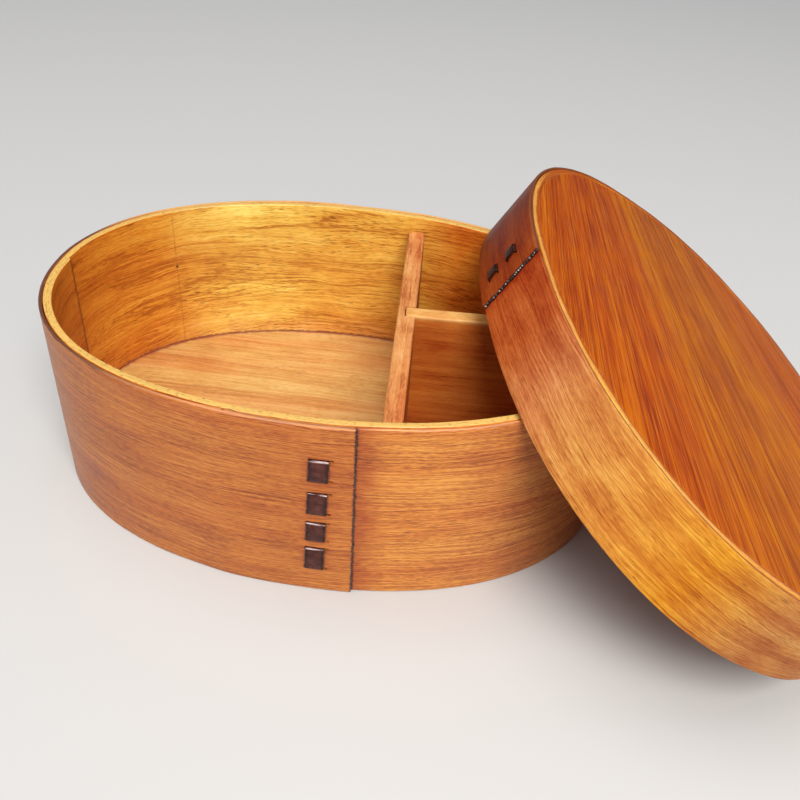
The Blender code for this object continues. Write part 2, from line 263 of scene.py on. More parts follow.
def band_mesh(name, band, height, ease_top, lacing, seed, matrix=None, drips=()):
    """The bent board as a closed mesh, with the lacing's slits through its lap.

    Attributes: grain (mm along, mm across, mm deep), rim (1 on the top edge), low (1 on the bottom edge),
    face (1 on the face away from the base, 0 on the other), turn (mm round the oval).
    """
    total = band.total
    holes = lacing.holes(band) if lacing else ()
    walk_stops = [0.0, LAP, total]
    walk_stops += [total - LAP - back for back in (RUN_OUT, UNDER_STEP, 0.4, 0.0)]
    walk_stops += [total - back for back in (0.5, 0.25, 0.1)]
    row_stops = [EASE_LOW, height - ease_top]
    for walk_low, walk_high, low, high in holes:
        walk_stops += [walk_low, walk_high]
        row_stops += [low, high]
    walked = steps_through(walk_stops, lambda w: 0.8 if total - w < 26.0 or w < 1.0 else 2.0)
    rows = steps_through(row_stops, lambda z: 0.5 if z > height - 3.0 or z < 2.0 else 2.2)
    near, far = band.near_far(walked)
    distance = band.distance(walked)
    # the end that shows is eased on its proud side
    to_end = total - walked
    share = np.clip((END_ROUND - to_end) / END_ROUND, 0.0, 1.0)
    far = far - END_ROUND * (1.0 - np.sqrt(1.0 - np.minimum(share, 0.995) ** 2))
    most = 0.49 * (far - near)
    r_near = np.minimum(np.where(to_end <= LAP, LAPPED_EASE, ease_top), most)[:, None]
    r_top = np.minimum(np.where(walked <= LAP, LAPPED_EASE, ease_top), most)[:, None]
    r_low = np.minimum(EASE_LOW, most)[:, None]
    near, far = near[:, None], far[:, None]
    count, m, k = len(walked), len(rows), len(EASE_ARC)
    # its section: up the near face, over the top, down the far face and back underneath, as (how many points,
    # distance from the base, height, rim, low)
    c, s = np.cos(EASE_ARC), np.sin(EASE_ARC)
    section = (
        (m, near, rows, 0.0, 0.0),
        (k, near + r_near * (1 - c), height - r_near * (1 - s), s**2, 0.0),
        (1, 0.5 * (near + far), height, 1.0, 0.0),
        (k, far - r_top * (1 - c[::-1]), height - r_top * (1 - s[::-1]), s[::-1] ** 2, 0.0),
        (m, far, rows[::-1], 0.0, 0.0),
        (k, far - r_low * (1 - c), r_low * (1 - s), 0.0, s**2),
        (k, near + r_low * (1 - c[::-1]), r_low * (1 - s[::-1]), 0.0, s[::-1] ** 2),
    )
    t, z_flat, rim, low_edge = (
        np.concatenate([np.broadcast_to(part[i], (count, part[0])) for part in section], axis=1) for i in (1, 2, 3, 4)
    )
    loop, top_far = z_flat.shape[1], m + 2 * k + 1
    under = loop - top_far - m
    side = np.concatenate([np.zeros(m), np.linspace(0, 1, top_far - m), np.ones(m), np.linspace(1, 0, under)])
    # what hands leave uneven, and the drips
    proud_wave = wobble(distance, 83.0, seed, 0.10)[:, None]
    height_wave = wobble(distance, 61.0, seed + 1, 0.12)[:, None]
    z = z_flat + np.maximum((z_flat - height + RIM_WAVE_DEPTH) / RIM_WAVE_DEPTH, 0.0) * height_wave
    edge_fade = ease((walked[:, None] - 0.5) / 5.0)
    t = t + np.where(side > 0.5, proud_wave * edge_fade * side, 0.0)
    for where, level, wide, tall, high in drips:
        gauss = np.exp(-(((distance[:, None] - where) / wide) ** 2) - ((z_flat - level) / tall) ** 2)
        t = t + np.where(side > 0.3, gauss * high, 0.0)
    spots = band.oval.at(np.repeat(distance[:, None], loop, 1), band.base + band.way * t)
    points = np.concatenate([spots, z[..., None]], axis=-1).reshape(-1, 3)
    open_cells, walls = set(), []
    for w0, w1, z0, z1 in holes:
        i0, i1 = (int(np.argmin(abs(walked - w))) for w in (w0, w1))
        j0, j1 = (int(np.argmin(abs(rows - level))) for level in (z0, z1))
        open_cells |= {(i, j) for i in range(i0, i1) for j in range(j0, j1)}
        ring = [(i, j0) for i in range(i0, i1)] + [(i1, j) for j in range(j0, j1)]
        ring += [(i, j1) for i in range(i1, i0, -1)] + [(i0, j) for j in range(j1, j0, -1)]
        walls.append(ring)
    faces = []
    for i in range(count - 1):
        for j in range(loop):
            n = (j + 1) % loop
            if j < m - 1 and (i, j) in open_cells:
                continue
            if top_far <= j < top_far + m - 1 and (i, m - 2 - (j - top_far)) in open_cells:
                continue
            faces.append((i * loop + j, i * loop + n, (i + 1) * loop + n, (i + 1) * loop + j))
    faces += end_faces(count, loop)
    # the walls of the holes have points of their own, so that their edges stay sharp
    copied = []
    for ring in walls:
        n, start = len(ring), len(points) + len(copied)
        copied += [i * loop + j for i, j in ring]
        copied += [i * loop + top_far + (m - 1 - j) for i, j in ring]
        for q in range(n):
            p = (q + 1) % n
            faces.append((start + n + q, start + n + p, start + p, start + q))
    attributes = {
        "grain": np.stack([np.repeat(walked[:, None], loop, 1), z_flat, t], axis=-1).reshape(-1, 3),
        "rim": rim.ravel(),
        "low": low_edge.ravel(),
        "face": np.tile(side, count),
        "turn": np.repeat(distance, loop),
    }
    if copied:
        points = np.concatenate([points, points[copied]])
        attributes = {key: np.concatenate([values, values[copied]]) for key, values in attributes.items()}
    return mesh_object(name, points, faces, attributes, matrix)


def inset(outline, centre, mm, size):
    """The outline drawn in by this many mm, the same all round near the edge and by a share further in."""
    towards = outline - centre
    even = mm / np.linalg.norm(towards, axis=1, keepdims=True)
    blend = min(1.0, mm / EVEN_INSET)
    return centre + towards * (1.0 - (even * (1 - blend) + mm / size * blend))


def board_mesh(name, outline, low, high, ease_edge, matrix=None, focus=None):
    """A flat board with an eased edge, from an outline in mm, walked counterclockwise. focus is the far point, where
    the log grew, that its grain fans out from.

    Attributes: grain (mm along, mm across, mm deep), edge (mm from the outline).
    """
    centre = 0.5 * (outline.min(0) + outline.max(0))
    size = float(np.abs(outline - centre).max(0).min())
    arc = np.linspace(0.0, 0.5 * math.pi, 5)
    steps = [(ease_edge * (1 - math.sin(a)), low + ease_edge * (1 - math.cos(a))) for a in arc]
    steps += [(ease_edge * (1 - math.cos(a)), high - ease_edge * (1 - math.sin(a))) for a in arc]
    steps += [(mm, high) for mm in (*BOARD_RINGS, *np.linspace(10.0, size * 0.97, 14))]
    n = len(outline)
    layers = [np.concatenate([inset(outline, centre, mm, size), np.full((n, 1), z)], axis=1) for mm, z in steps]
    points = np.concatenate(layers)
    along = points[:, :2]
    if focus is not None:
        away = points[:, :2] - np.array(focus)
        reach = math.hypot(*focus)
        cross = focus[1] * away[:, 0] - focus[0] * away[:, 1]
        dot = -focus[0] * away[:, 0] - focus[1] * away[:, 1]
        along = np.stack([np.hypot(*away.T) - reach, np.arctan2(cross, dot) * reach], axis=1)
    attributes = {
        "grain": np.concatenate([along, points[:, 2:]], axis=1),
        "edge": np.repeat([mm for mm, _ in steps], n),
    }
    return mesh_object(name, points, tube_faces(len(layers), n), attributes, matrix)


def rounded_path(path):
    """The path with its corners rounded, in steps of at most 0.6 mm."""
    rounded = [path[0]]
    for before, corner, after in zip(path, path[1:], path[2:]):
        a, b = before - corner, after - corner
        reach = min(0.42, 0.45 * np.linalg.norm(a), 0.45 * np.linalg.norm(b))
        start = corner + a / np.linalg.norm(a) * reach
        end = corner + b / np.linalg.norm(b) * reach
        for share in np.linspace(0.0, 1.0, 6):
            rounded.append((1 - share) ** 2 * start + 2 * share * (1 - share) * corner + share**2 * end)
    rounded.append(path[-1])
    fine = [rounded[0]]
    for here, there in zip(rounded, rounded[1:]):
        count = max(1, math.ceil(np.linalg.norm(there - here) / 0.6))
        for share in np.linspace(0, 1, count + 1)[1:]:
            fine.append(here + (there - here) * share)
    return np.array(fine)


def ribbon_section(half_w, half_t):
    """The section of a flat strip with rounded edges, as (across, through)."""
    r = half_t * 0.8
    section = []
    for cx, cy, start in ((1, 1, 0.0), (-1, 1, 0.5), (-1, -1, 1.0), (1, -1, 1.5)):
        for angle in np.linspace(start * math.pi, (start + 0.5) * math.pi, 4):
            section.append((cx * (half_w - r) + r * math.cos(angle), cy * (half_t - r) + r * math.sin(angle)))
        if cx == cy:
            section += [(cx * q * (half_w - r), cy * half_t) for q in (0.6, 0.2, -0.2, -0.6)]
    return np.array(section)


def ribbon_mesh(name, path, width, thickness, matrix, seed, glint_strength):
    """A bark strip swept along a path in the (out, up) plane of a band, with rounded edges and uneven sides.

    Attributes: grain (mm along, mm across, mm through), and a painted highlight, by how far it turns in over the top of
    a square.
    """
    fine = rounded_path(np.asarray(path, float))
    along = np.concatenate([[0.0], np.cumsum(np.linalg.norm(np.diff(fine, axis=0), axis=1))])
    tangent = np.gradient(fine, axis=0)
    tangent /= np.linalg.norm(tangent, axis=1, keepdims=True)
    normal = np.stack([-tangent[:, 1], tangent[:, 0]], axis=1)
    half_w = 0.5 * width
    section = ribbon_section(half_w, 0.5 * thickness)
    points, grain, painted_glint = [], [], []
    for i, centre in enumerate(fine):
        # painted highlight strength: most where the strip turns in over the top of a square
        bend = glint_strength * 2.0 * max(0.0, tangent[i][0]) * max(0.0, -tangent[i][1])
        left = wobble(np.array(along[i]), 4.3, seed, 0.12)
        right = wobble(np.array(along[i]), 5.1, seed + 1, 0.12)
        for x, h in section:
            wide = x + (right if x > 0 else left) * abs(x) / half_w
            crown = 0.05 * (1.0 - (x / half_w) ** 2)
            place = centre + normal[i] * (h + (crown if h > 0 else -crown) * 0.5)
            points.append((place[0], wide, place[1]))
            grain.append((along[i], x, h))
            painted_glint.append(bend if h > 0.0 else 0.0)
    return mesh_object(name, points, tube_faces(len(fine), len(section)), {"grain": grain, "painted_glint": painted_glint}, matrix)


def add_box(shape, low, high):
    place = Matrix.Translation(0.5 * (low + high)) @ Matrix.Diagonal((*(high - low), 1.0))
    bmesh.ops.create_cube(shape, size=1.0, matrix=place)


def into_mesh(shape, name):
    mesh = bpy.data.meshes.new(name)
    shape.to_mesh(mesh)
    shape.free()
    return mesh


def without_notch(name, mesh, low, high):
    """The mesh less a box, which is its groove."""
    cutter = bmesh.new()
    add_box(cutter, Vector(low), Vector(high))
    pair = [
        bpy.data.objects.new(name + "_uncut", mesh),
        bpy.data.objects.new(name + "_notch", into_mesh(cutter, name + "_notch")),
    ]
    for obj in pair:
        bpy.context.scene.collection.objects.link(obj)
    boolean = pair[0].modifiers.new("notch", "BOOLEAN")
    boolean.operation, boolean.solver, boolean.object = "DIFFERENCE", "EXACT", pair[1]
    bpy.context.view_layer.update()
    cut = bpy.data.meshes.new_from_object(pair[0].evaluated_get(bpy.context.evaluated_depsgraph_get()))
    for obj in pair:
        bpy.data.objects.remove(obj)
    return cut


def block_mesh(name, low, high, ease_edge, matrix, along, notch=None):
    """A board as a finely divided block with eased edges. along is the axis of its grain. notch is (low, high) of a
    groove that runs its full height.

    Attributes: grain (mm along, mm, mm), top (mm below its top).
    """
    low, high = Vector(low), Vector(high)
    shape = bmesh.new()
    add_box(shape, low, high)
    bmesh.ops.bevel(
        shape, geom=list(shape.edges), offset=ease_edge, segments=4, profile=0.5, affect="EDGES", clamp_overlap=True
    )
    mesh = into_mesh(shape, name)
    if notch is not None:
        mesh = without_notch(name, mesh, *notch)
    # cut into a grid, so that its attributes can follow its surface
    shape = bmesh.new()
    shape.from_mesh(mesh)
    for axis, direction in enumerate(np.eye(3)):
        extent = high[axis] - low[axis]
        cells = max(2, int(extent / GRID))
        for q in range(1, cells):
            spot = direction * (low[axis] + extent * q / cells)
            everything = [*shape.verts, *shape.edges, *shape.faces]
            bmesh.ops.bisect_plane(shape, geom=everything, plane_co=spot, plane_no=direction)
    shape.to_mesh(mesh)
    shape.free()
    points = np.array([v.co for v in mesh.vertices])
    order = [along] + [axis for axis in (2, 1, 0) if axis != along]
    add_attributes(mesh, {"grain": points[:, order], "top": high.z - points[:, 2]})
    mesh.transform(Matrix.Scale(MM, 4))
    mesh.transform(matrix)
    mesh.name = name
    return show(name, mesh)


def seam_bead(name, band, height, radius, seed, place, lumps, ahead):
    """A bead of dark lacquer that runs up a band's seam, with lumps of (size, swell)."""
    size, swelling = lumps
    heights = np.linspace(0.25, height - 0.25, int(height / BEAD_STEP))
    n = len(heights)
    spots = band.oval.at(np.full(n, band.seam + band.way * ahead), band.base + band.way * (band.thickness + 0.25))
    spine = np.concatenate([spots, heights[:, None]], axis=1)
    out = np.array([*band.oval.normal(band.oval.at(band.seam)) * band.way, 0.0])
    along = np.array([-out[1], out[0], 0.0])
    rng = np.random.default_rng(seed)
    swell = np.ones(n)
    position = 0.0
    while position < heights.max():
        strength = rng.uniform(0.5, 1.0)
        swell += strength * swelling * np.exp(-(((heights - position) / (0.35 * size)) ** 2))
        position += rng.uniform(0.8, 1.5) * size
    drift = wobble(heights, 7.0, seed, 0.12) + wobble(heights, 1.9, seed + 3, 0.07)
    points = []
    for i in range(n):
        taper = min(1.0, 0.25 + 2.0 * min(i, n - 1 - i) / 6.0)
        for q in range(BEAD_SIDES):
            angle = 2 * math.pi * q / BEAD_SIDES
            reach = radius * swell[i] * taper * (1.0 + 0.15 * math.sin(3 * angle + 1.7 * i))
            side = along * (math.sin(angle) * reach * 0.9 + drift[i])
            points.append(spine[i] + out * (math.cos(angle) * reach) + side)
    obj = mesh_object(name, points, tube_faces(n, BEAD_SIDES), {"grain": points})
    obj.data.transform(place)
    return obj


# --- materials
GRAIN_DEPTH = 0.00005
BARK_BROWNS = ((0.1, (0.030, 0.006, 0.004)), (0.5, (0.070, 0.016, 0.011)), (0.9, (0.120, 0.034, 0.024)))


class Tree:
    """A short way to write the node tree of a material or a world."""

    def __init__(self, owner):
        owner.use_nodes = True
        self.owner = owner
        self.nodes = owner.node_tree.nodes
        self.links = owner.node_tree.links

    def put(self, socket, value):
        if isinstance(value, bpy.types.NodeSocket):
            self.links.new(value, socket)
        elif value is not None:
            socket.default_value = value

    def new(self, kind, values=(), **settings):
        """A new node. values go to its sockets, by number or name, and settings to the node itself."""
        node = self.nodes.new("ShaderNode" + kind)
        for key, setting in settings.items():
            setattr(node, key, setting)
        for key, value in dict(values).items():
            self.put(node.inputs[key], value)
        return node

    def attribute(self, name, output="Fac"):
        return self.new("Attribute", attribute_name=name).outputs[output]

    def math(self, operation, *values, clamp=False):
        return self.new("Math", enumerate(values), operation=operation, use_clamp=clamp).outputs[0]

    def add(self, *values):
        total = values[0]
        for value in values[1:]:
            total = self.math("ADD", total, value)
        return total

    def times(self, a, b):
        return self.math("MULTIPLY", a, b)

    def off(self, value, place):
        """How far the value is from this place."""
        return self.math("ABSOLUTE", self.add(value, -place))

    def split(self, vector):
        return self.new("SeparateXYZ", {0: vector}).outputs

    def pushed(self, vector, push):
        """The vector with its y pushed by this much."""
        x, y, z = self.split(vector)
        return self.new("CombineXYZ", enumerate((x, self.add(y, push), z))).outputs[0]

    def noise(self, vector, sizes, seed, detail=2.0, rough=0.6):
        """Noise about 0, mostly within -0.5 and 0.5. sizes are in mm."""
        scales, shift = tuple(1.0 / size for size in sizes), (seed * 7.3, seed * 3.1, seed * 5.7)
        placed = self.new("VectorMath", enumerate((vector, scales, shift)), operation="MULTIPLY_ADD").outputs[0]
        values = {"Vector": placed, "Scale": 1.0, "Detail": detail, "Roughness": rough, "Distortion": 0.0}
        node = self.new("TexNoise", values, noise_dimensions="3D")
        return self.math("MULTIPLY_ADD", node.outputs["Fac"], 2.0, -1.0)

    def step(self, value, low, high, out_low=0.0, out_high=1.0):
        values = {"Value": value, "From Min": low, "From Max": high, "To Min": out_low, "To Max": out_high}
        return self.new("MapRange", values, interpolation_type="SMOOTHSTEP").outputs[0]

    def fade(self, value, low, high):
        """1 up to low, 0 from high."""
        return self.step(value, low, high, 1.0, 0.0)

    def ramp(self, value, stops):
        node = self.nodes.new("ShaderNodeValToRGB")
        ramp = node.color_ramp
        while len(ramp.elements) < len(stops):
            ramp.elements.new(0.5)
        for element, (place, colour) in zip(ramp.elements, stops):
            element.position = place
            element.color = (*colour, 1.0)
        self.put(node.inputs[0], value)
        return node.outputs[0]

    def mix(self, share, a, b, mode="MIX"):
        colours = [(*c, 1.0) if isinstance(c, tuple) else c for c in (a, b)]
        return self.new("Mix", zip((0, 6, 7), (share, *colours)), data_type="RGBA", blend_type=mode).outputs[2]

    def paint(self, colour, over, share, strength):
        return self.mix(self.times(share, strength), colour, over)

    def stain(self, colour, tint, share, strength):
        return self.mix(self.times(share, strength), colour, tint, "MULTIPLY")

    def bump(self, height, distance, strength):
        return self.new("Bump", {"Distance": distance, "Strength": strength, "Height": height}).outputs[0]

    def finish(self, colour, roughness, normal=None, coat=0.0, coat_rough=0.2, specular=0.5):
        inputs = self.nodes["Principled BSDF"].inputs
        values = {"Base Color": colour, "Roughness": roughness, "Normal": normal, "Coat Weight": coat}
        values |= {"Coat Roughness": coat_rough, "Specular IOR Level": specular}
        for key, value in values.items():
            self.put(inputs[key], value)
        return self.owner


def material_tree(name):
    return Tree(bpy.data.materials.new(name))


def shade(colour, by):
    return tuple(c * by for c in colour)


def wood(
    name, colours, seed, masks, warp, red, red_share, roughness, coat, pores, specular=0.5, bump=1.0,
    weights=(0.35, 0.5, 0.45, 0.35, 0.3), warp_size=(60.0, 16.0, 30.0), bands=(150.0, 5.0), streaks=(36.0, 0.75),
    lines=(20.0, 0.38), hairs=(2.4, 0.17), pore_size=(2.6, 0.2), rings=None,
):
    """Lacquered softwood, from the attribute grain: bands, streaks, lines, hairs, blotches, rings and dark pores."""
    t = material_tree(name)
    grain = t.attribute("grain", "Vector")
    v = t.pushed(grain, t.times(t.noise(grain, warp_size, seed, 2.0, 0.55), warp))
    broad = t.noise(v, (*bands, bands[1] * 2), seed + 1)
    streak = t.noise(v, (*streaks, streaks[1] * 2), seed + 2)
    line = t.noise(v, (*lines, lines[1] * 2), seed + 3, 1.0, 0.6)
    hair = t.noise(v, (*hairs, hairs[1] * 1.8), seed + 3.5, 1.0, 0.6)
    blotch = t.noise(grain, (15.0, 8.0, 8.0), seed + 4, 3.0, 0.6)
    parts = (broad, streak, line, hair, blotch)
    value = t.add(0.5, *[t.times(part, weight) for part, weight in zip(parts, weights)])
    if rings is not None:
        size, count, strength = rings
        field = t.add(t.noise(grain, size, seed + 5, 1.0, 0.4), t.times(streak, 0.02))
        saw = t.math("FRACT", t.times(field, count))
        late = t.times(t.math("POWER", saw, 2.2), t.fade(saw, 0.93, 1.0))
        where = t.step(t.noise(grain, (50.0, 14.0, 20.0), seed + 5.5, 1.0, 0.5), -0.25, 0.3)
        value = t.math("SUBTRACT", value, t.times(t.times(late, where), strength))
    colour = t.ramp(value, tuple(zip((0.08, 0.36, 0.64, 0.92), colours)))
    hue = t.step(t.noise(v, (80.0, 11.0, 11.0), seed + 6, 2.0, 0.5), -0.25, 0.35)
    colour = t.stain(colour, red, hue, red_share)
    dash = t.noise(v, (*pore_size, pore_size[1]), seed + 7, 0.0, 0.5)
    here = t.step(t.noise(grain, (17.0, 6.0, 6.0), seed + 8, 1.0, 0.5), -0.3, 0.4)
    colour = t.paint(colour, shade(colours[0], 0.5), t.times(t.step(dash, 0.25, 0.55), t.add(0.25, here)), pores)
    normal = t.bump(t.add(hair, line, t.times(streak, 0.8)), GRAIN_DEPTH * bump, 0.7)
    rough = t.add(roughness, t.times(line, 0.06), t.times(blotch, 0.08), t.times(hair, 0.05))
    colour, rough = masks(t, colour, rough, grain)
    return t.finish(colour, rough, normal, coat, 0.22, specular)


def patch_distance(t, grain, turn, lacing):
    """mm from the nearest square of bark, each between a top and a bottom slit."""
    slits = lacing.slits
    z = t.split(grain)[1]
    sideways = t.times(t.add(z, -lacing.middle), -math.tan(lacing.lean))
    along = t.math("ABSOLUTE", t.add(turn, sideways, -lacing.at))
    beside = t.math("MAXIMUM", t.add(along, -0.5 * lacing.width), 0.0)
    above = None
    for top, bottom in zip(slits[::2], slits[1::2]):
        past = t.math("MAXIMUM", t.add(t.off(z, 0.5 * (top + bottom)), -0.5 * (top - bottom)), 0.0)
        above = past if above is None else t.math("MINIMUM", above, past)
    return t.math("SQRT", t.add(t.times(beside, beside), t.times(above, above)))


def bark_material(name, tone, coat):
    t = material_tree(name)
    grain = t.attribute("grain", "Vector")
    line = t.noise(grain, (0.35, 6.0, 2.0), 3)
    patch = t.noise(grain, (3.0, 3.0, 3.0), 4)
    value = t.add(0.5, t.times(line, 0.5), t.times(patch, 0.7))
    colour = t.ramp(value, tuple((place, shade(brown, tone)) for place, brown in BARK_BROWNS))
    # painted shade: the strip's sides go near black, for the shade in the gaps beside it
    edge = t.math("ABSOLUTE", t.math("DIVIDE", t.split(grain)[1], 2.6))
    colour = t.paint(colour, (0.012, 0.005, 0.005), t.step(edge, 0.55, 1.0), 0.75)
    # painted highlight: a pale colour where the strip turns in over the top of each square
    painted_glint = t.times(t.attribute("painted_glint"), t.step(line, -0.3, 0.3, 0.3, 1.0))
    colour = t.mix(t.step(painted_glint, 0.35, 0.9, 0.0, 0.8), colour, (0.62, 0.50, 0.48))
    normal = t.bump(t.add(line, patch), 0.00006, 0.7)
    return t.finish(colour, t.add(0.26, t.times(patch, 0.12)), normal, coat, 0.05, 0.10)


def lacquer_material():
    t = material_tree("dark_lacquer")
    patch = t.noise(t.attribute("grain", "Vector"), (0.7, 0.7, 0.7), 5)
    colour = t.ramp(t.add(0.5, patch), ((0.2, (0.006, 0.003, 0.003)), (0.8, (0.035, 0.014, 0.010))))
    normal = t.bump(patch, 0.00008, 0.6)
    return t.finish(colour, t.add(0.22, t.times(patch, 0.1)), normal, 0.6, 0.08)


def dress(obj, material, body, slot, *nodes):
    obj.data.materials.clear()
    obj.data.materials.append(material)
    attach(obj, body)
    if nodes:
        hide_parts(*nodes)


# --- the walls
class Lacing(namedtuple("Lacing", "slits width at lean tuck")):
    """A strip of bark: its slits' heights from the rim down, its width, distance round the oval and lean, and how
    far its ends are tucked past the slits."""

    @property
    def middle(self):
        return 0.5 * (self.slits[0] + self.slits[-1])

    def holes(self, band):
        """The slits in a band's lap, as (from walked, to walked, low z, high z)."""
        holes = []
        walk = band.total + band.way * (self.at - band.seam)
        half = 0.5 * self.width + GAP
        for z in self.slits:
            here = walk + (z - self.middle) * math.tan(self.lean)
            holes.append((here - half, here + half + SLIT_OVERRUN, z - SLIT_HALF, z + SLIT_HALF))
        return holes


def lacing_path(lacing, behind, before, belly):
    """The bark's way in and out of its slits, from above the first to below the last."""
    slits = lacing.slits
    path = [(behind, slits[0] + lacing.tuck)]
    for i, height in enumerate(slits):
        here, there = (before, behind) if i % 2 else (behind, before)
        path += [(here, height), (there, height)]
        if i % 2 == 0:
            below = slits[i + 1]
            for share in (0.25, 0.5, 0.75):
                swell = belly * 4 * share * (1 - share)
                path.append((before + swell, height + (below - height) * share))
    path.append((behind, slits[-1] - lacing.tuck))
    return path


def outer_band(oval, thickness, seam_x):
    return Band(oval, -thickness, thickness, oval.find(0, seam_x, 0.5, 1.0), 1.0, OUTER_PROUD, OUTER_TIP)


def inner_band(oval, outer, thickness, seam):
    return Band(oval, -outer - GAP, thickness, seam, -1.0, INNER_PROUD, INNER_TIP)


def fitted(band, count, slack):
    """The outline of a board that fits inside a band, in count points."""
    distances = np.linspace(0.0, band.oval.round, count, endpoint=False)
    return band.oval.at(distances, band.inside(distances) + slack)


def bark(name, band, inner_base, lacing, place, seed, glint_strength, belly):
    middle = Vector((0, 0, lacing.middle))
    lean = Matrix.Rotation(-lacing.lean, 4, "X")
    matrix = band.oval.frame(lacing.at) @ Matrix.Translation(middle) @ lean @ Matrix.Translation(-middle)
    matrix.translation = matrix.translation * MM
    face = band.base + band.thickness + band.proud[0]
    path = lacing_path(lacing, inner_base - 0.5 * BARK, face + 0.5 * BARK + BARK_OFF, belly)
    return ribbon_mesh(name, path, lacing.width, BARK, place @ matrix, seed, glint_strength)


box_oval = Oval(BOX_HALF_LENGTH, BOX_HALF_WIDTH)
box_outer_band = outer_band(box_oval, BOX_OUTER, BOX_SEAM_X)
box_inner_band = inner_band(box_oval, BOX_OUTER, BOX_INNER, box_oval.find(1, BOX_INNER_SEAM_Y, 0.25, 0.75))
box_lacing = Lacing(BOX_SLITS, BOX_BARK_WIDTH, box_oval.find(0, BOX_BARK_X, 0.5, 1.0), BOX_BARK_LEAN, 4.0)
lid_oval = Oval(LID_HALF_LENGTH, LID_HALF_WIDTH)
lid_outer_band = outer_band(lid_oval, LID_OUTER, LID_SEAM_X)
lid_inner_band = inner_band(lid_oval, LID_OUTER, LID_INNER, lid_oval.find(0, LID_INNER_SEAM_X, 0.0, 0.5))
lid_lacing = Lacing(LID_SLITS, LID_BARK_WIDTH, lid_oval.find(0, LID_BARK_X, 0.5, 1.0), 0.0, 2.8)

# drips of lacquer under the rim: distance round the oval, height, half width, half height, how proud
DRIP_RANGES = ((272.0, 345.0), (63.4, 64.6), (0.7, 1.8), (0.35, 0.8), (0.12, 0.34))
drips = [tuple(random.uniform(*limits) for limits in DRIP_RANGES) for _ in range(16)]

box_outer = band_mesh("box_outer_wall", box_outer_band, BOX_HEIGHT, 0.48, box_lacing, 11, drips=drips)
box_inner = band_mesh("box_inner_wall", box_inner_band, BOX_HEIGHT, 0.35, None, 21)
lid_outer = band_mesh("lid_outer_wall", lid_outer_band, LID_HEIGHT, 0.42, lid_lacing, 31, LID_PLACE)
lid_inner = band_mesh("lid_inner_wall", lid_inner_band, LID_HEIGHT, 0.3, None, 41, LID_PLACE)
box_floor = board_mesh("box_floor", fitted(box_inner_band, 260, 0.22), FLOOR_LOW, FLOOR, 0.3)
lid_plate = board_mesh(
    "lid_plate", fitted(lid_inner_band, 280, 0.25), LID_HEIGHT - LID_BOARD, LID_HEIGHT, 0.18, LID_PLACE,
    focus=(-417.0, 18.0),
)
# the 1.0 and 0.45 set how strongly a highlight is painted over the tops of the bark squares
box_bark = bark("box_bark_strip", box_outer_band, box_inner_band.base, box_lacing, HERE, 51, 1.0, 0.22)
lid_bark = bark("lid_bark_strip", lid_outer_band, lid_inner_band.base, lid_lacing, LID_PLACE, 61, 0.45, 0.06)
box_bead = seam_bead("box_seam_lacquer", box_outer_band, BOX_HEIGHT, 0.25, 71, HERE, (0.9, 0.8), 0.06)
lid_bead = seam_bead("lid_seam_lacquer", lid_outer_band, LID_HEIGHT, 0.34, 81, LID_PLACE, (0.95, 1.2), 0.1)

# --- the dividers
divider_place = Matrix.Translation((CROSS_X * MM, 0, 0)) @ Matrix.Rotation(DIVIDER_TURN, 4, "Z")


def local_corners(node):
    """The corners of a divider's CAD node in the T's own frame, in mm."""
    back = divider_place.inverted()
    places = np.array([back @ v.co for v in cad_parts[node].data.vertices]) / MM
    return places.min(0), places.max(0)


groove_half = 0.5 * SHORT_THICK + GAP
groove = (
    (0.5 * CROSS_THICK - GROOVE, SHORT_Y - groove_half, 0.0),
    (0.5 * CROSS_THICK + 5.0, SHORT_Y + groove_half, 80.0),
)
cross = block_mesh("cross_divider_board", *local_corners("cross_divider"), 0.7, divider_place, 1, groove)
short = block_mesh("short_divider_board", *local_corners("short_divider"), 0.6, divider_place, 0)

# --- dressing
OUTER = ((0.333, 0.087, 0.014), (0.504, 0.158, 0.023), (0.624, 0.224, 0.034), (0.725, 0.316, 0.056))
INNER = ((0.488, 0.183, 0.026), (0.764, 0.401, 0.057), (0.891, 0.564, 0.097), (0.97, 0.732, 0.174))
FLOOR_LOOK = ((0.462, 0.206, 0.051), (0.566, 0.295, 0.08), (0.625, 0.37, 0.11), (0.67, 0.436, 0.153))
PLATE = ((0.241, 0.034, 0.001), (0.354, 0.057, 0.001), (0.438, 0.087, 0.002), (0.536, 0.143, 0.003))
CROSS = ((0.398, 0.112, 0.027), (0.571, 0.224, 0.062), (0.658, 0.302, 0.097), (0.728, 0.397, 0.147))
SHORT = ((0.410, 0.125, 0.025), (0.588, 0.245, 0.057), (0.678, 0.331, 0.089), (0.750, 0.435, 0.135))
LID_BAND = ((0.338, 0.079, 0.016), (0.499, 0.159, 0.029), (0.623, 0.258, 0.046), (0.73, 0.376, 0.081))
RIM = (0.70, 0.42, 0.105)
PURPLE = (0.085, 0.030, 0.026)
INNER_RED = (0.85, 0.58, 0.50)
SEAM_DARK = (0.075, 0.018, 0.010)
FLOOR_LINE = (0.27, 0.055, 0.04)
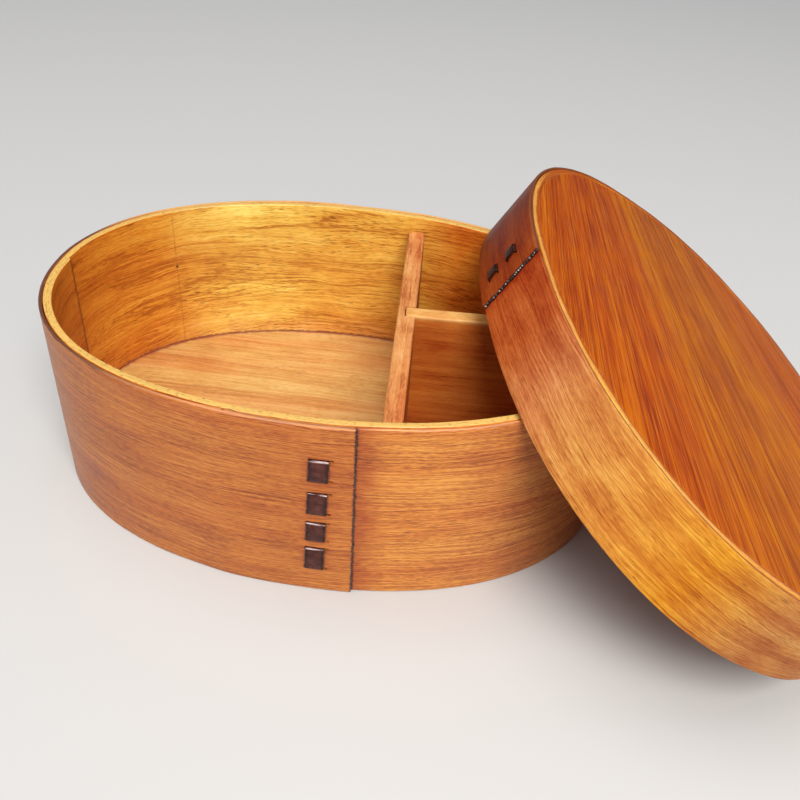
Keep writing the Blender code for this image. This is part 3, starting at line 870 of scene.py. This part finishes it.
# tints placed round the ovals, as (distance in mm, colour); some also paint light and shade, as said with each
# partly the board's own tone, lighter right of the seam; from -85 to -25 mm it darkens towards the right end as painted
# shade of the lid
BOX_TONES_AND_SHADE = (
    (-110.0, (1.05, 1.04, 1.08)), (-85.0, (1.08, 1.12, 1.15)), (-60.0, (0.88, 0.82, 0.95)),
    (-25.0, (0.66, 0.58, 0.90)), (90.0, (0.88, 0.80, 0.78)), (260.0, (0.80, 0.68, 0.66)), (388.0, (0.84, 0.71, 0.66)),
)
LID_TONES_SHADE_AND_SHEEN = (
    # partly the band's own tone; the dark stops by the seam (-137 mm, and 330 to 395 mm) are painted shade where the
    # band faces away from the light, and the raised blue from -92 to -9 mm is a painted pinkish sheen
    (-137.0, (0.76, 0.30, 0.28)), (-110.0, (0.88, 0.54, 0.66)), (-92.0, (1.0, 0.92, 1.6)), (-76.0, (1.02, 1.10, 1.45)),
    (-31.0, (0.98, 0.98, 0.42)), (-9.0, (0.76, 0.78, 1.2)), (80.0, (0.80, 0.62, 0.60)), (330.0, (0.36, 0.15, 0.11)),
    (360.0, (0.34, 0.12, 0.09)), (395.0, (0.58, 0.25, 0.22)),
)
# partly the wall's own tone; the dark stops from 515 to 583 mm are painted shade of the lid over the right end, and the
# light stop at 665 mm is painted light on the back wall
INNER_TONES_LIGHT_AND_SHADE = (
    (244.0, (0.80, 0.48, 0.28)), (400.0, (0.84, 0.50, 0.32)), (515.0, (0.84, 0.34, 0.20)), (583.0, (0.90, 0.44, 0.24)),
    (603.0, (0.99, 0.88, 0.76)), (632.0, (1.0, 0.92, 0.84)), (665.0, (1.09, 1.24, 1.35)), (700.0, (0.88, 0.60, 0.36)),
    (740.0, (0.77, 0.40, 0.16)),
)
RING_TONES = ((100.0, (0.9, 0.74, 0.6)), (700.0, (0.9, 0.74, 0.6)))


def toned_and_lit(t, colour, turn, tones_and_light):
    """Multiplies the colour by tints placed along the turn: (distance in mm, colour), ascending. Some tints are painted
    light and shade.
    """
    first, last = tones_and_light[0][0], tones_and_light[-1][0]
    share = t.math("DIVIDE", t.add(turn, -first), last - first, clamp=True)
    tone = t.ramp(share, tuple(((place - first) / (last - first), tint) for place, tint in tones_and_light))
    return t.mix(1.0, colour, tone, "MULTIPLY")


def outer_masks(band, lacing, tones_and_light, bare, dark_from, dark_to, dark_edge, dark_share, seam_stain, back_rim=None):
    """The outer board's bare and dark rim, and the stain that gathered beside its seam and slits."""

    def masks(t, colour, rough, grain):
        patch = t.noise(grain, (9.0, 5.0, 5.0), 2.2)
        ragged = t.noise(grain, (1.2, 0.8, 0.8), 3.2)
        rim, turn, face = t.attribute("rim"), t.attribute("turn"), t.attribute("face")
        # the tints round the oval: partly the board's own tone, partly painted shade and a painted sheen
        colour = toned_and_lit(t, colour, turn, tones_and_light)
        colour = t.paint(colour, bare, rim, 0.5)
        if back_rim is not None:
            back = t.times(t.step(turn, -10.0, 30.0), t.fade(turn, 190.0, 230.0))
            colour = t.paint(colour, back_rim, t.times(t.step(rim, 0.1, 0.6), back), 0.85)
        dark = t.times(t.step(turn, dark_from, dark_from + 25.0), t.fade(turn, dark_to, dark_to + 45.0))
        line = t.step(t.add(rim, t.times(patch, 0.25), t.times(ragged, 0.3)), dark_edge, dark_edge + 0.4)
        colour = t.paint(colour, PURPLE, t.times(line, dark), dark_share)
        after = t.add(turn, band.oval.round - band.seam)
        behind = t.add(t.times(turn, -1.0), band.seam)
        wide = t.times(t.fade(t.add(after, t.times(patch, -5.0)), 0.0, seam_stain), t.step(after, -0.5, -0.4))
        colour = t.stain(colour, (0.60, 0.30, 0.26), wide, 0.82)
        close = t.fade(t.add(after, t.times(ragged, -1.0)), 0.0, 1.0)
        near = t.fade(t.add(behind, t.times(ragged, -0.7)), 0.0, 0.5)
        both = t.times(t.math("MAXIMUM", close, near), face)
        colour = t.paint(colour, SEAM_DARK, both, 0.85)
        away = patch_distance(t, grain, turn, lacing)
        halo = t.fade(t.add(away, t.times(ragged, -0.7)), 0.0, 0.75)
        colour = t.paint(colour, SEAM_DARK, t.times(halo, face), 0.6)
        glow = t.fade(t.add(away, t.times(patch, -2.0)), 0.5, 3.5)
        colour = t.stain(colour, (0.80, 0.50, 0.42), t.times(glow, face), 0.35)
        return colour, t.add(rough, t.times(both, -0.12))

    return masks


def inner_masks(band, ring, tones_and_light, joint=None, floor_at=None, far_ring=None):
    """The bare edge that the inner board shows as a rim, its seam and joint, and the stain along the floor."""

    def masks(t, colour, rough, grain):
        rim, turn = t.attribute("rim"), t.attribute("turn")
        pores = t.step(t.noise(grain, (1.5, 0.5, 0.3), 6.1, 0.0, 0.5), 0.15, 0.5)
        soft = t.noise(grain, (12.0, 3.0, 0.8), 6.4, 2.0, 0.5)
        _, height, depth = t.split(grain)
        top = t.paint(ring, (0.30, 0.12, 0.03), pores, 0.7)
        top = t.mix(t.step(soft, -0.1, 0.35, 0.0, 0.35), top, shade(ring, 0.7))
        ragged = t.noise(grain, (1.5, 1.2, 1.2), 3.4)
        if far_ring is not None:
            deep = t.step(t.add(depth, t.times(ragged, 0.35), t.times(soft, 0.5)), 0.95, 1.35)
            top = t.paint(top, far_ring, t.math("MAXIMUM", deep, t.fade(turn, 322.0, 350.0)), 0.92)
        patch = t.noise(grain, (9.0, 5.0, 5.0), 3.9)
        inside = t.math("SUBTRACT", 1.0, t.attribute("low"))
        # the tints round the oval: partly the wall's own tone, partly painted shade and painted light
        colour = toned_and_lit(t, colour, turn, tones_and_light)
        seam = band.seam
        colour = t.stain(colour, (0.75, 0.48, 0.42), t.fade(turn, seam + 15.0, seam + 60.0), 0.55)
        off = t.math("MINIMUM", t.off(turn, seam), t.off(turn, seam + band.oval.round))
        colour = t.paint(colour, (0.15, 0.026, 0.005), t.fade(t.add(off, t.times(ragged, -0.4)), 0.3, 1.5), 0.88)
        if joint is not None:
            place, knot_height = joint
            off = t.off(turn, place)
            line = t.fade(t.add(off, t.times(ragged, -0.25)), 0.02, 0.34)
            colour = t.paint(colour, (0.30, 0.10, 0.02), line, 0.42)
            up = t.add(height, -knot_height)
            knot = t.math("SQRT", t.add(t.times(off, off), t.times(up, up)))
            colour = t.mix(t.step(knot, 0.3, 0.8, 0.9, 0.0), colour, (0.08, 0.02, 0.01))
        if floor_at is not None:
            above = t.add(height, -floor_at)
            wash = t.fade(t.add(above, t.times(patch, -9.0)), 0.0, 10.0)
            colour = t.stain(colour, (0.86, 0.60, 1.5), wash, 0.38)
            colour = t.paint(colour, FLOOR_LINE, t.fade(t.add(above, t.times(ragged, -1.1)), 0.1, 0.9), 0.75)
        return t.mix(t.times(t.step(rim, 0.25, 0.8), inside), colour, top), rough

    return masks


def floor_masks(t, colour, rough, grain):
    ragged = t.noise(grain, (2.5, 2.5, 2.5), 8.4)
    line = t.fade(t.add(t.attribute("edge"), t.times(ragged, -1.2)), 0.2, 1.6)
    return t.paint(colour, FLOOR_LINE, line, 0.75), rough


def plate_masks(t, colour, rough, grain):
    """The lid board's redder and more golden parts, its edge, and pale glints in the grain."""
    across = t.split(grain)[1]
    colour = t.mix(t.step(across, -45.0, -12.0, 0.65, 0.0), colour, (0.93, 0.74, 0.85), "MULTIPLY")
    gold = t.times(t.step(across, -22.0, -8.0), t.fade(across, 18.0, 46.0))
    colour = t.stain(colour, (1.02, 1.28, 0.80), gold, 0.85)
    ragged = t.noise(grain, (5.0, 1.0, 1.0), 8.9)
    line = t.fade(t.add(t.attribute("edge"), t.times(ragged, -2.0)), 0.0, 1.4)
    colour = t.paint(colour, (0.50, 0.17, 0.028), line, 0.2)
    glints = t.step(t.noise(grain, (26.0, 0.3, 0.3), 9.3, 1.0, 0.5), 0.2, 0.55)
    return t.paint(colour, (0.80, 0.34, 0.02), glints, 0.34), rough


def divider_masks(t, colour, rough, grain):
    below = t.step(t.attribute("top"), 0.5, 1.5)
    return t.stain(colour, (0.71, 0.29, 0.05), below, 0.85), rough


def divider_look(name, colours, seed, red_share):
    return wood(
        name, colours, seed, divider_masks, warp=1.5, red=(0.90, 0.55, 0.48), red_share=red_share, roughness=0.48,
        coat=0.05, pores=0.12, specular=0.35, weights=(0.5, 0.32, 0.3, 0.4, 0.7), bands=(90.0, 3.2),
        streaks=(30.0, 0.7),
    )


outer_material = wood(
    "bent_board_outer", OUTER, 1.0,
    outer_masks(
        box_outer_band, box_lacing, BOX_TONES_AND_SHADE, bare=(0.72, 0.36, 0.17), dark_from=205.0, dark_to=300.0,
        dark_edge=0.05, dark_share=0.92, seam_stain=11.0, back_rim=(0.62, 0.33, 0.075),
    ),
    warp=3.0, red=(0.80, 0.42, 0.35), red_share=0.35, roughness=0.40, coat=0.05, pores=0.6, specular=0.38,
    weights=(0.3, 0.5, 0.82, 0.85, 0.3),
)
inner_material = wood(
    "bent_board_inner", INNER, 2.0,
    inner_masks(
        box_inner_band, RIM, INNER_TONES_LIGHT_AND_SHADE, joint=(box_oval.find(0, -69.0, 0.25, 0.5) + box_oval.round, 43.0),
        floor_at=FLOOR,
    ),
    warp=6.0, red=INNER_RED, red_share=0.45, roughness=0.36, coat=0.15, pores=0.8, specular=0.4,
    weights=(0.42, 0.36, 0.50, 0.50, 0.42), warp_size=(55.0, 20.0, 30.0), bands=(120.0, 7.0), pore_size=(3.2, 0.26),
    rings=((170.0, 24.0, 40.0), 12.0, 0.36),
)
floor_material = wood(
    "box_floor", FLOOR_LOOK, 3.0, floor_masks, warp=3.0, red=(0.93, 0.66, 0.60), red_share=0.75, roughness=0.45,
    coat=0.15, pores=0.5, weights=(0.7, 0.55, 0.5, 0.5, 0.5), bands=(160.0, 6.0), streaks=(60.0, 1.2),
)
lid_band_material = wood(
    "lid_band", LID_BAND, 6.0,
    outer_masks(
        lid_outer_band, lid_lacing, LID_TONES_SHADE_AND_SHEEN, bare=(0.40, 0.17, 0.06), dark_from=-260.0, dark_to=640.0,
        dark_edge=0.35, dark_share=0.6, seam_stain=5.0,
    ),
    warp=3.5, red=(0.80, 0.42, 0.45), red_share=0.45, roughness=0.38, coat=0.0, pores=0.5, specular=0.03,
    weights=(0.40, 0.32, 0.38, 0.42, 0.50),
)
ring_material = wood(
    "lid_ring", INNER, 2.5, inner_masks(lid_inner_band, (0.66, 0.29, 0.060), RING_TONES, far_ring=(0.37, 0.066, 0.003)),
    warp=5.0, red=INNER_RED, red_share=0.45, roughness=0.38, coat=0.0, pores=0.5, specular=0.12,
)
plate_material = wood(
    "lid_plate", PLATE, 4.0, plate_masks, warp=2.0, red=(0.85, 0.55, 0.60), red_share=0.5, roughness=0.34, coat=0.0,
    pores=0.4, specular=0.03, bump=2.2, weights=(0.50, 0.40, 1.0, 1.1, 0.30), warp_size=(170.0, 40.0, 30.0),
    bands=(260.0, 11.0), streaks=(150.0, 1.5), lines=(110.0, 0.42), hairs=(16.0, 0.2), pore_size=(9.0, 0.22),
)
lacquer = lacquer_material()

dress(box_outer, outer_material, "box", "outer_board", "box_outer_ply")
dress(box_inner, inner_material, "box", "inner_board", "box_inner_ply")
dress(box_floor, floor_material, "box", "flat_board", "box_bottom_board")
dress(box_bark, bark_material("box_bark", 1.0, 0.25), "box", "bark", "box_bark_lacing")
dress(box_bead, lacquer, "box", "bark")
cross_material = divider_look("cross_divider_wood", CROSS, 5.0, 0.7)
short_material = divider_look("short_divider_wood", SHORT, 5.6, 0.35)
dress(cross, cross_material, "cross_divider", "divider_board", "cross_divider")
dress(short, short_material, "short_divider", "divider_board", "short_divider")
dress(lid_outer, lid_band_material, "lid", "outer_board", "lid_outer_ply")
dress(lid_inner, ring_material, "lid", "inner_board", "lid_inner_ply")
dress(lid_plate, plate_material, "lid", "flat_board", "lid_top_board")
dress(lid_bark, bark_material("lid_bark", 0.5, 0.06), "lid", "bark", "lid_bark_lacing")
dress(lid_bead, lacquer, "lid", "bark")


# --- studio
def lamp(name, place, aim, size, power, colour):
    light = bpy.data.lights.new(name, "AREA")
    light.shape, light.size, light.energy, light.color = "SQUARE", size, power, colour
    obj = bpy.data.objects.new(name, light)
    obj.location = place
    obj.rotation_euler = (Vector(aim) - Vector(place)).to_track_quat("-Z", "Y").to_euler()
    bpy.context.scene.collection.objects.link(obj)


def soft_room():
    """A dim, even room, darker low down behind the object. The camera sees it as plain and pale."""
    world = bpy.data.worlds.new("soft_room")
    t = Tree(world)
    _, back, up = t.split(t.new("TexCoord").outputs["Generated"])
    light = t.math("MAXIMUM", t.step(back, -0.1, 0.5, 0.50, 0.06), t.step(up, 0.45, 0.9, 0.0, 0.48))
    lit = t.new("Background", {"Color": (0.86, 0.90, 1.0, 1.0), "Strength": light})
    seen = t.new("Background", {"Color": (0.60, 0.60, 0.60, 1.0)})
    is_seen = t.new("LightPath").outputs["Is Camera Ray"]
    either = t.new("MixShader", enumerate((is_seen, lit.outputs[0], seen.outputs[0])))
    t.put(t.nodes["World Output"].inputs["Surface"], either.outputs[0])
    bpy.context.scene.world = world


corners = [(-1500, -1500, -0.2), (1500, -1500, -0.2), (1500, 760, -0.2), (-1500, 760, -0.2)]
plane = mesh_object("studio_floor", corners, [(0, 1, 2, 3)], {})
plane.data.materials.append(material_tree("studio_floor").finish((0.54, 0.53, 0.51, 1.0), 0.8))
lamp("key", (0.34, -0.86, 1.15), (0.03, 0.0, 0.03), 0.62, 21.5, (1.0, 0.985, 0.96))
lamp("top", (-0.25, -0.1, 1.5), (0.03, 0.0, 0.0), 1.1, 9.5, (1.0, 1.0, 1.0))
soft_room()
bpy.context.scene.view_settings.view_transform = "Standard"

camera_data = bpy.data.cameras.new("camera")
camera_data.lens = 40.9
camera = bpy.data.objects.new("camera", camera_data)
rows = ((0.9901, -0.1255, 0.0632, 0.04138), (0.1281, 0.6200, -0.7741, -0.23794), (0.0580, 0.7745, 0.6299, 0.22026))
camera.matrix_world = Matrix((*rows, (0.0, 0.0, 0.0, 1.0)))
bpy.context.scene.collection.objects.link(camera)
bpy.context.scene.camera = camera
